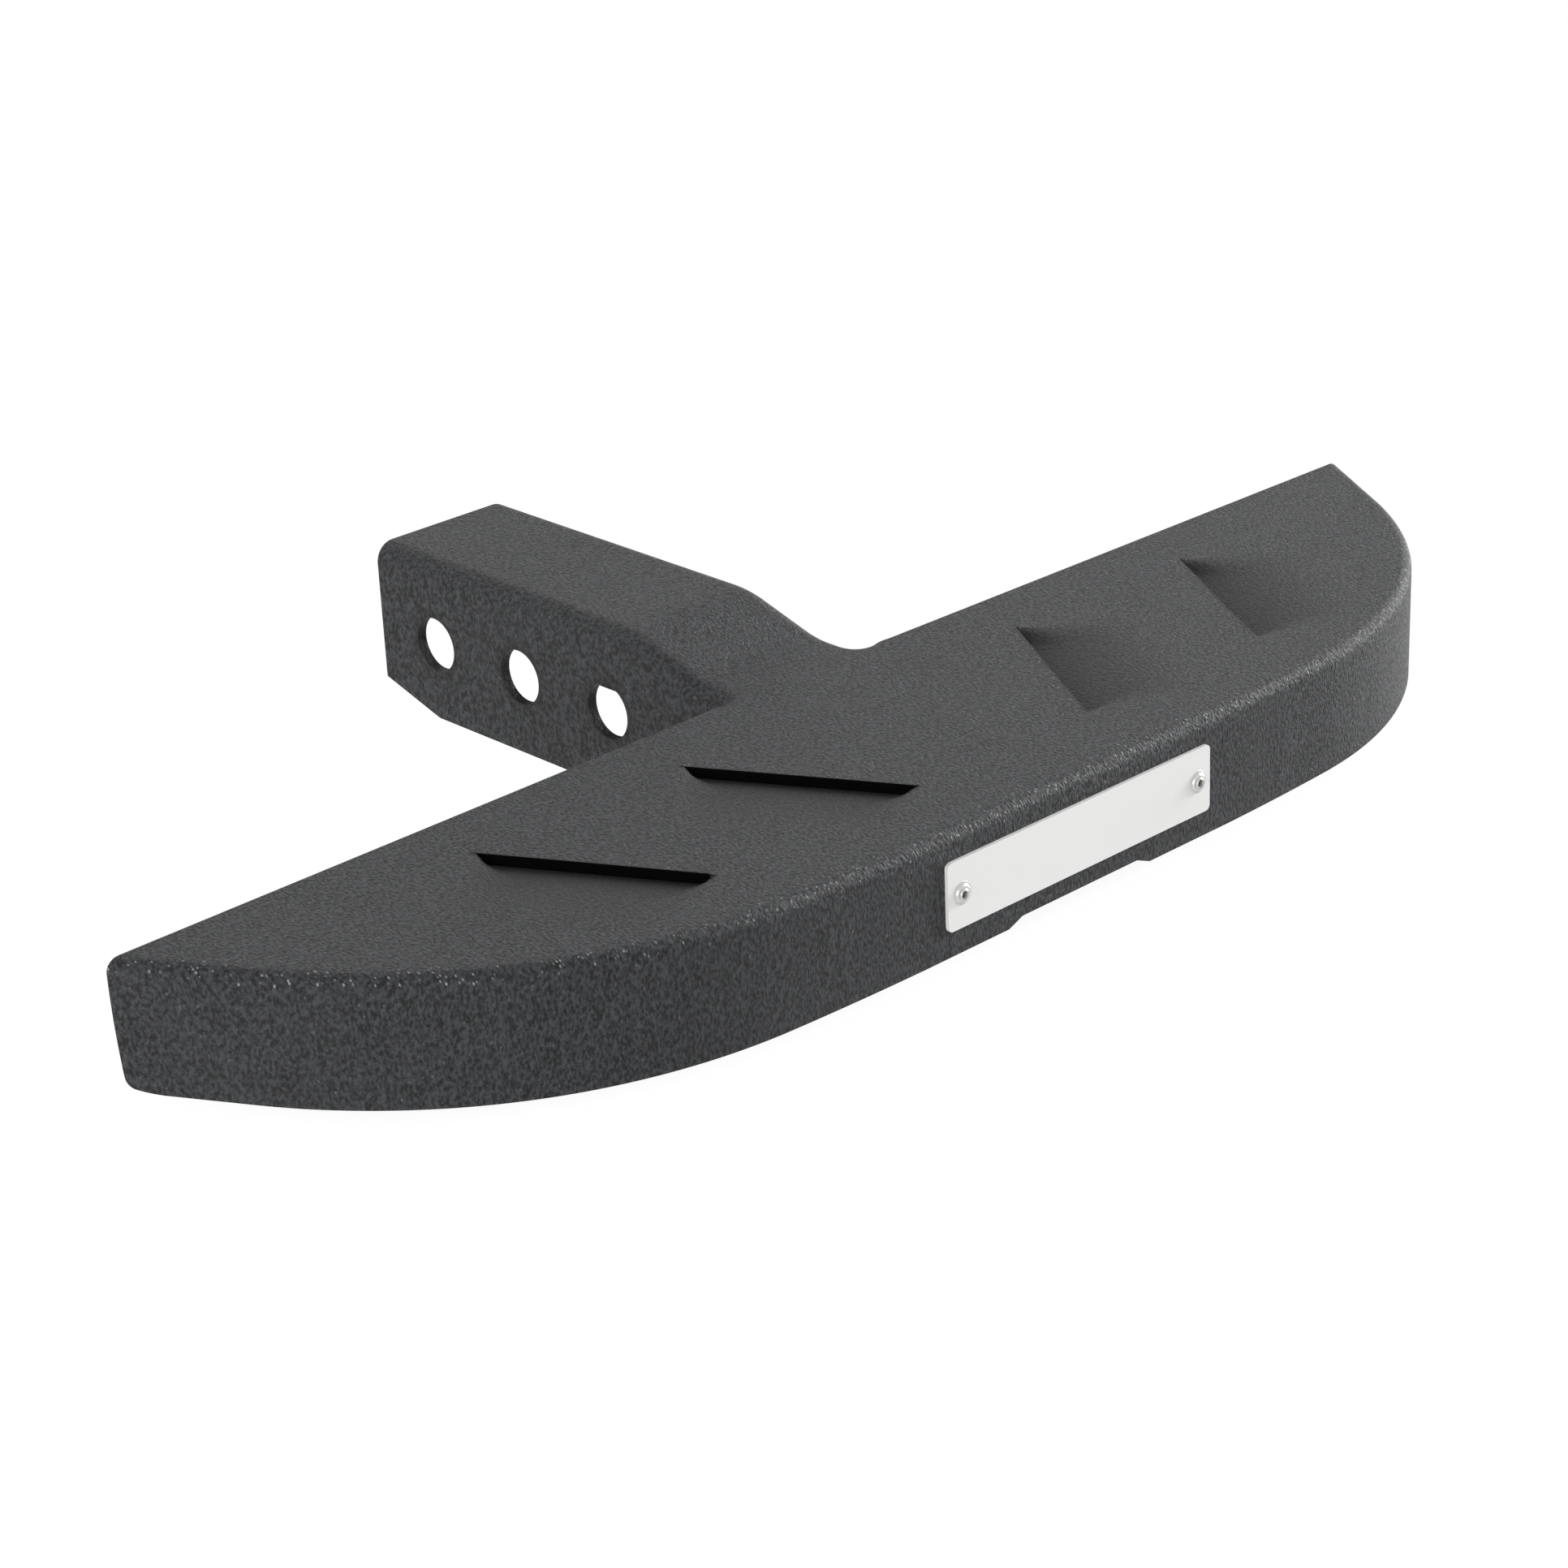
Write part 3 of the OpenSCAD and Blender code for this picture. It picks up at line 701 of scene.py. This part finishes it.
def trim_ends(piece):
    """Slides the inner skin along the skirt until both skins stop on the swept rear line. The
    slide is its lag behind the outer skin times (1 - distance from the end / 12 mm)."""
    points = np.zeros(3 * len(piece.data.vertices))
    piece.data.vertices.foreach_get("co", points)
    points = points.reshape(2, -1, 3) * 1000 + PIN
    outer, inner = points
    fade = np.clip(1 - to_rear(outer) / TRIM_RUN, 0, 1) * (np.abs(outer[:, 0]) > TRIM_X)
    slide = (to_rear(outer) - to_rear(inner)) * fade
    side = np.stack([np.sign(outer[:, 0]), 1 + 0 * slide], -1)
    inner[:, :2] -= slide[:, None] * END_WAY * side
    piece.data.vertices.foreach_set("co", to_row(points).ravel())
    print("ends slid by up to", slide.max(), "mm")


trim_ends(step)
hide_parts("step_shell")

# %% [markdown]
# ## Dark inside the slits
# Nothing lights the cut faces of the slits, which lie edge to edge. Their shade is painted: they
# get a plain near-black colour with no gloss, so that a slit reads as an opening from every side.

# %% Dark inside the slits
# The slits' cut faces are those fully inside the painted shade
FULL_MARK = 0.97  # of the "recess" mark


def shade_slits(piece, material):
    """Gives the slits' cut faces the painted shade as a second material: those whose corners all
    have the full shade mark.
    """
    mesh = piece.data
    dark = np.zeros(len(mesh.vertices), np.float32)
    mesh.attributes["painted_shade"].data.foreach_get("value", dark)
    start, corner = np.zeros(len(mesh.polygons), int), np.zeros(len(mesh.loops), int)
    mesh.polygons.foreach_get("loop_start", start)
    mesh.loops.foreach_get("vertex_index", corner)
    in_slit = np.minimum.reduceat(dark[corner], start) > FULL_MARK
    mesh.materials.append(material)
    mesh.polygons.foreach_set("material_index", in_slit.astype(np.int32))
    print("slit faces", in_slit.sum())


# Painted shade for the slits' cut faces: near-black, matt, with no specular
slit_dark, slit_shader, _, _ = nodes_of("slit_shadow")
slit_shader.inputs["Base Color"].default_value = (0.003, 0.003, 0.003, 1)
slit_shader.inputs["Roughness"].default_value = 0.95
slit_shader.inputs["Specular IOR Level"].default_value = 0.0
shade_slits(step, slit_dark)

# %% [markdown]
# ## Rib plates
# The photograph doesn't show the underside. Two flat plates carry the tread from the shank's
# walls, as such steps have. Their CAD solids are right as they are and take the same coating.

# %% Rib plates
def finish_nodes(finishes):
    """Puts a finish on each named CAD solid, whose mesh stays as it is."""
    for name, material in finishes.items():
        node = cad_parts[name]
        node.data.materials.clear()
        node.data.materials.append(material)
        print(name, "takes", material.name)


finish_nodes({"rib_left": charcoal, "rib_right": charcoal})

# %% [markdown]
# ## Nameplate and rivets
# A thin pale satin plate with rounded corners, left bare here. Two blind rivets hold it. Setting
# one pulls its mandrel until it snaps, which leaves a raised ring round a sunk centre. The shade
# in the sunk centre and in the groove round the ring is painted into the rivets' colour.

# %% Satin finish
def satin(name, colour, rough):
    """Satin finish: a pale colour with a faint drift, and a fine grain in the bump."""
    material, shader, node, join = nodes_of(name)
    place = node("ShaderNodeTexCoord")
    grain = node("ShaderNodeTexNoise", Scale=2600.0, Detail=2.0)
    drift = node("ShaderNodeTexNoise", Scale=35.0, Detail=2.0)
    for texture in (grain, drift):
        join(place.outputs["Object"], texture.inputs["Vector"])
    tone = blend(node, join, drift.outputs["Fac"], tuple(c * 0.96 for c in colour), colour)
    join(tone, shader.inputs["Base Color"])
    bump = node("ShaderNodeBump", Strength=0.1, Distance=0.1 * MM)
    join(grain.outputs["Fac"], bump.inputs["Height"])
    join(bump.outputs["Normal"], shader.inputs["Normal"])
    shader.inputs["Roughness"].default_value = rough
    return material, shader, node, join, place, tone, bump


# %% Rivet finish
# The rivets' metal, then the painted shade of the sunk centre and of the groove round the ring
RIVET_TONE, CENTRE_SHADE, GROOVE_SHADE = (0.70, 0.70, 0.69), (0.05, 0.05, 0.048), (0.30, 0.30, 0.29)
CENTRE_R, CENTRE_END = 0.95 * MM, 1.15 * MM  # the dark centre, and where its edge has faded
RING_PITCH = 1.1 * MM


def axis_distance(node, join, place):
    """Distance from the nearer rivet's axis: the length of (|x| less its place, z less its
    height), so that one finish serves both rivets."""
    axes = node("ShaderNodeSeparateXYZ")
    join(place.outputs["Object"], axes.inputs[0])
    side = node("ShaderNodeMath", "ABSOLUTE")
    join(axes.outputs[0], side.inputs[0])
    across = node("ShaderNodeMath", "SUBTRACT", _1=RIVET_X * MM)
    join(side.outputs[0], across.inputs[0])
    up = node("ShaderNodeMath", "SUBTRACT", _1=float(to_row([0, 0, -SKIRT / 2])[2]))
    join(axes.outputs[2], up.inputs[0])
    flat_place = node("ShaderNodeCombineXYZ")
    join(across.outputs[0], flat_place.inputs[0])
    join(up.outputs[0], flat_place.inputs[1])
    radius = node("ShaderNodeVectorMath", "LENGTH")
    join(flat_place.outputs[0], radius.inputs[0])
    return radius.outputs["Value"]


def rivet_finish():
    """Bright metal with painted shade: it turns dark within 1 mm of a rivet's axis, in the sunk
    centre; the cosine of the distance gives the groove round the ring, darkened by painted shade."""
    material, shader, node, join, place, tone, bump = satin("rivet_metal", RIVET_TONE, 0.34)
    radius = axis_distance(node, join, place)
    # Painted shade in the sunk centre
    centre = remap(node, join, radius, CENTRE_R, CENTRE_END, 1.0, 0.0)
    tone = blend(node, join, centre, tone, CENTRE_SHADE)
    wave = node("ShaderNodeMath", "MULTIPLY", _1=2 * math.pi / RING_PITCH)
    join(radius, wave.inputs[0])
    ring = node("ShaderNodeMath", "COSINE")
    join(wave.outputs[0], ring.inputs[0])
    # Painted shade in the groove round the ring
    groove = remap(node, join, ring.outputs[0], -1.0, -0.4, 0.35, 0.0)
    tone = blend(node, join, groove, tone, GROOVE_SHADE)
    join(tone, shader.inputs["Base Color"])
    height = node("ShaderNodeBump", Strength=0.6, Distance=0.3 * MM)
    join(ring.outputs[0], height.inputs["Height"])
    join(bump.outputs["Normal"], height.inputs["Normal"])
    join(height.outputs["Normal"], shader.inputs["Normal"])
    shader.inputs["Metallic"].default_value = 0.5
    return material


finish_nodes({"nameplate": satin("satin_plate", (0.90, 0.90, 0.89), 0.42)[0],
              "nameplate_rivets": rivet_finish()})

# %% [markdown]
# ## Floor
# A pale floor lies under the shank's lower edges. To the camera and in reflections it shows white,
# so that the background stays pure while the lamps stay at a plain level. The step's soft shadow
# on it is drawn from the tread's outline. From below the floor lets the view through.

# %% Helpers for the floor and the background
def white_light(tree):
    """An emission of strength 1."""
    white = tree.nodes.new("ShaderNodeEmission")
    white.inputs["Color"].default_value = (1, 1, 1, 1)
    white.inputs["Strength"].default_value = 1.0
    return white


def white_where_seen(tree, shader_out, target, white):
    """Shows the white shader to camera, glossy and transmitted rays, the other to the rest."""
    path = tree.nodes.new("ShaderNodeLightPath")
    seen = path.outputs["Is Camera Ray"]
    for kind in ("Is Glossy Ray", "Is Transmission Ray"):
        top = tree.nodes.new("ShaderNodeMath")
        top.operation = "MAXIMUM"
        tree.links.new(seen, top.inputs[0])
        tree.links.new(path.outputs[kind], top.inputs[1])
        seen = top.outputs[0]
    mix = tree.nodes.new("ShaderNodeMixShader")
    tree.links.new(seen, mix.inputs[0])
    tree.links.new(shader_out, mix.inputs[1])
    tree.links.new(white.outputs[0], mix.inputs[2])
    tree.links.new(mix.outputs[0], target)


def clear_from_below(tree, target):
    """Lets rays pass that meet the back of the floor, so the step can be seen from below."""
    side = tree.nodes.new("ShaderNodeNewGeometry")
    clear = tree.nodes.new("ShaderNodeBsdfTransparent")
    mix = tree.nodes.new("ShaderNodeMixShader")
    tree.links.new(side.outputs["Backfacing"], mix.inputs[0])
    tree.links.new(target.links[0].from_socket, mix.inputs[1])
    tree.links.new(clear.outputs[0], mix.inputs[2])
    tree.links.new(mix.outputs[0], target)


# %% Floor
FLOOR_GAP, FLOOR_HALF, FLOOR_STEP = 0.0005, 3, 0.005  # metres, as all of this cell
SHADOW_INSET, SHADOW_RUN = 4, 45  # millimetres


def floor_shade(points):
    """Soft shadow under the step: 0 up to 4 mm inside the tread's outline, eased to 1 over the
    next 45 mm."""
    right = edge_lines([0.0])[:, 0]
    cover = np.vstack([right, right[:0:-1] * LEFT_RIGHT])
    return ease((gap_to(points, cover) - SHADOW_INSET) / SHADOW_RUN) * inside(points, cover)


def floor_mesh():
    """A level grid, close-set under the step, whose points carry the shadow as a mark."""
    low = float(to_row([0, 0, WALL_Z])[2]) - FLOOR_GAP
    ticks_x = np.concatenate([[-FLOOR_HALF], np.arange(-0.25, 0.2501, FLOOR_STEP), [FLOOR_HALF]])
    ticks_y = np.concatenate([[-FLOOR_HALF], np.arange(-0.21, 0.0801, FLOOR_STEP), [FLOOR_HALF]])
    x, y = np.meshgrid(ticks_x, ticks_y)
    points = np.stack([x.ravel(), y.ravel(), np.full(x.size, low)], -1)
    mesh = bpy.data.meshes.new("floor")
    mesh.from_pydata(points.tolist(), [], grid_faces(*x.shape).tolist())
    shade = floor_shade(points[:, :2] * 1000 + PIN[:2])
    layer = mesh.attributes.new("shade", "FLOAT", "POINT")
    layer.data.foreach_set("value", shade.astype(np.float32))
    print("floor at z", low, "m, shadow at", (shade > 0).sum(), "points")
    return mesh


def floor_finish():
    """White where it is seen, darker by the shadow's mark, pale grey to the light, clear below."""
    material, shader, node, join = nodes_of("pale_floor")
    shader.inputs["Base Color"].default_value = (0.85, 0.85, 0.85, 1)
    shader.inputs["Roughness"].default_value = 0.7
    tree = material.node_tree
    white = white_light(tree)
    tone = blend(node, join, mark_of(node, "shade"), (1.0, 1.0, 1.0), (0.45, 0.45, 0.45))
    join(tone, white.inputs["Color"])
    target = tree.nodes["Material Output"].inputs["Surface"]
    white_where_seen(tree, shader.outputs[0], target, white)
    clear_from_below(tree, target)
    return material


floor = bpy.data.objects.new("floor", floor_mesh())
bpy.context.scene.collection.objects.link(floor)
floor.data.materials.append(floor_finish())

# %% [markdown]
# ## World and lamps
# Four large soft boxes light the step, as in a studio: a strong one on the right that models the
# skirt, a faint one above, one for the front and a faint one for the shank's side. The world adds
# a little light from all round.

# %% World
world = bpy.data.worlds.new("studio")
bpy.context.scene.world = world
world.use_nodes = True
ambient = world.node_tree.nodes["Background"]
ambient.inputs["Color"].default_value = (0.48, 0.48, 0.48, 1)
ambient.inputs["Strength"].default_value = 0.5
white_where_seen(world.node_tree, ambient.outputs[0],
                 world.node_tree.nodes["World Output"].inputs["Surface"],
                 white_light(world.node_tree))


# %% Lamps
def lamp(name, place, aim, size, power):
    """A square soft box at a place, facing a point."""
    light = bpy.data.lights.new(name, "AREA")
    light.size, light.energy = size, power
    made = bpy.data.objects.new(name, light)
    bpy.context.scene.collection.objects.link(made)
    made.location = place
    turn = (Vector(aim) - Vector(place)).to_track_quat("-Z", "Y")
    made.rotation_euler = turn.to_euler()
    print(name, power, "W")


lamp("right_box", (2.3, -0.45, 0.62), (0.1, -0.1, 0), 1.0, 86)
lamp("top_box", (-0.5, 0.4, 1.4), (0, -0.1, 0), 1.2, 3.5)
lamp("front_box", (-1.42, -0.88, 0.45), (0, -0.1, 0), 0.9, 13.5)
lamp("left_box", (-1.4, 0.7, 0.35), (0, 0, 0), 0.8, 3.5)

# %% [markdown]
# ## Camera
# The photograph was taken from the front left and a little above, with a long lens. The camera's
# place, direction and lens were fitted to the step's edges.

# %% Camera
PHOTO_PX, FOCAL_PX, SENSOR = 1932, 4678.0, 36.0
CAMERA_AT = (-656.8, -699.6, 395.5)  # tread frame, millimetres
AZIMUTH, ELEVATION, ROLL = -42.87, 24.05, -2.46  # degrees


def camera():
    """Looks along minus the unit vector of its azimuth and elevation, then rolls about it."""
    data = bpy.data.cameras.new("camera")
    data.sensor_width, data.lens = SENSOR, FOCAL_PX / PHOTO_PX * SENSOR
    a, b, c = (math.radians(v) for v in (AZIMUTH, ELEVATION, ROLL))
    back = Vector((math.sin(a) * math.cos(b), -math.cos(a) * math.cos(b), math.sin(b)))
    right = Vector((math.cos(a), math.sin(a), 0))
    up = back.cross(right)
    right, up = right * math.cos(c) + up * math.sin(c), up * math.cos(c) - right * math.sin(c)
    turn = Matrix((right, up, back)).transposed().to_4x4()
    made = bpy.data.objects.new("camera", data)
    bpy.context.scene.collection.objects.link(made)
    made.matrix_world = Matrix.Translation(to_row(CAMERA_AT)) @ turn
    print("camera at", list(made.location), "lens", round(data.lens, 1), "mm")
    return made


bpy.context.scene.camera = camera()
bpy.context.scene.view_settings.view_transform = "Standard"
